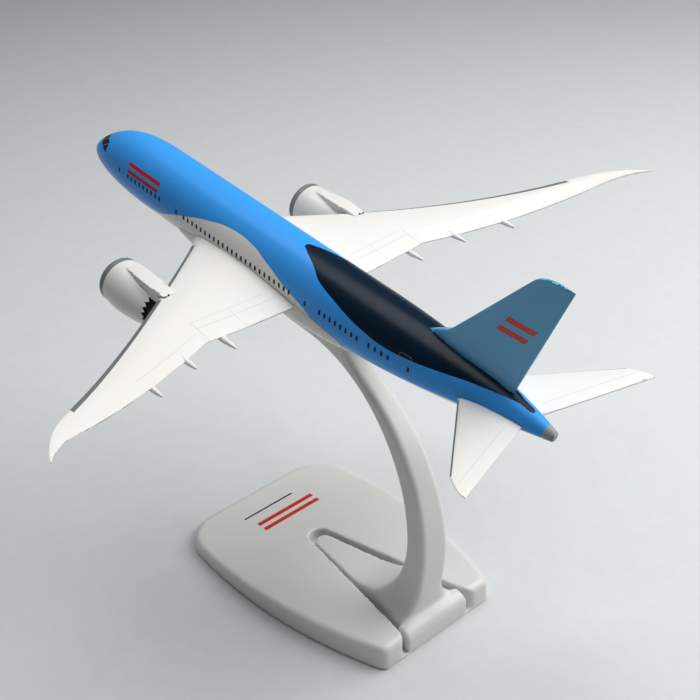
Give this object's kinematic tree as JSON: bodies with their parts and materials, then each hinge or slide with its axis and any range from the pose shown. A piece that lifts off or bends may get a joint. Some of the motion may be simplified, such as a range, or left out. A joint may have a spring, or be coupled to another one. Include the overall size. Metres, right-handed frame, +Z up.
{
  "type": "desktop airliner model on a stand",
  "caption": "Snap-together plastic display model of a twin-engined airliner, nose up on a curved arm that slides into a wedge-shaped base.",
  "frame": {"origin": "on the underside plane of the stand base, under the middle of its length and width, at rest", "axes": "+X towards the nose and the low front of the base, +Y to the port wing tip, +Z up; the fuselage points up from +X by 7 degrees"},
  "size_m": [0.2875, 0.3006, 0.1923],
  "materials": {
    "sky_blue": "satin sky-blue paint on plastic, with a white belly and a navy swoosh at the rear",
    "white_paint": "satin white paint on plastic, leading edges grey",
    "teal_blue": "satin blue paint on plastic",
    "grey_paint": "satin grey paint on plastic",
    "dark_insert": "dark grey moulded plastic",
    "grey_insert": "unpainted grey moulded plastic",
    "stand_white": "satin white moulded plastic"
  },
  "bodies": {
    "base": {"stand_base": "stand_white"},
    "arm": {"stand_arm": "stand_white"},
    "airframe": {"fuselage_left": "sky_blue", "fuselage_right": "sky_blue", "belly_fairing": "white_paint", "wing_box": "grey_insert", "stand_socket": "grey_insert", "tail_block": "grey_insert"},
    "port_wing": {"left_wing": "white_paint"},
    "starboard_wing": {"right_wing": "white_paint"},
    "port_tailplane": {"left_tailplane": "white_paint"},
    "starboard_tailplane": {"right_tailplane": "white_paint"},
    "tail_fin": {"fin": "teal_blue"},
    "port_engine": {"left_nacelle": "white_paint", "left_inlet_ring": "grey_paint", "left_fan": "dark_insert", "left_core_nozzle": "dark_insert", "left_exhaust_plug": "dark_insert"},
    "starboard_engine": {"right_nacelle": "white_paint", "right_inlet_ring": "grey_paint", "right_fan": "dark_insert", "right_core_nozzle": "dark_insert", "right_exhaust_plug": "dark_insert"}
  },
  "joints": [
    {"name": "arm_slide", "type": "slide", "parent": "base", "child": "arm", "axis": [-1, 0, 0], "range_m": [0, 0.08]},
    {"name": "airframe_lift", "type": "slide", "parent": "arm", "child": "airframe", "axis": [-0.1219, 0, 0.9925], "range_m": [0, 0.0115]},
    {"name": "port_wing_pull", "type": "slide", "parent": "airframe", "child": "port_wing", "axis": [0, 1, 0], "range_m": [0, 0.0145]},
    {"name": "starboard_wing_pull", "type": "slide", "parent": "airframe", "child": "starboard_wing", "axis": [0, -1, 0], "range_m": [0, 0.0145]},
    {"name": "port_tailplane_pull", "type": "slide", "parent": "airframe", "child": "port_tailplane", "axis": [0, 1, 0], "range_m": [0, 0.009]},
    {"name": "starboard_tailplane_pull", "type": "slide", "parent": "airframe", "child": "starboard_tailplane", "axis": [0, -1, 0], "range_m": [0, 0.009]},
    {"name": "fin_pull", "type": "slide", "parent": "airframe", "child": "tail_fin", "axis": [-0.1219, 0, 0.9925], "range_m": [0, 0.009]},
    {"name": "port_engine_pull", "type": "slide", "parent": "port_wing", "child": "port_engine", "axis": [0.9925, 0, 0.1219], "range_m": [0, 0.01]},
    {"name": "starboard_engine_pull", "type": "slide", "parent": "starboard_wing", "child": "starboard_engine", "axis": [0.9925, 0, 0.1219], "range_m": [0, 0.01]}
  ]
}
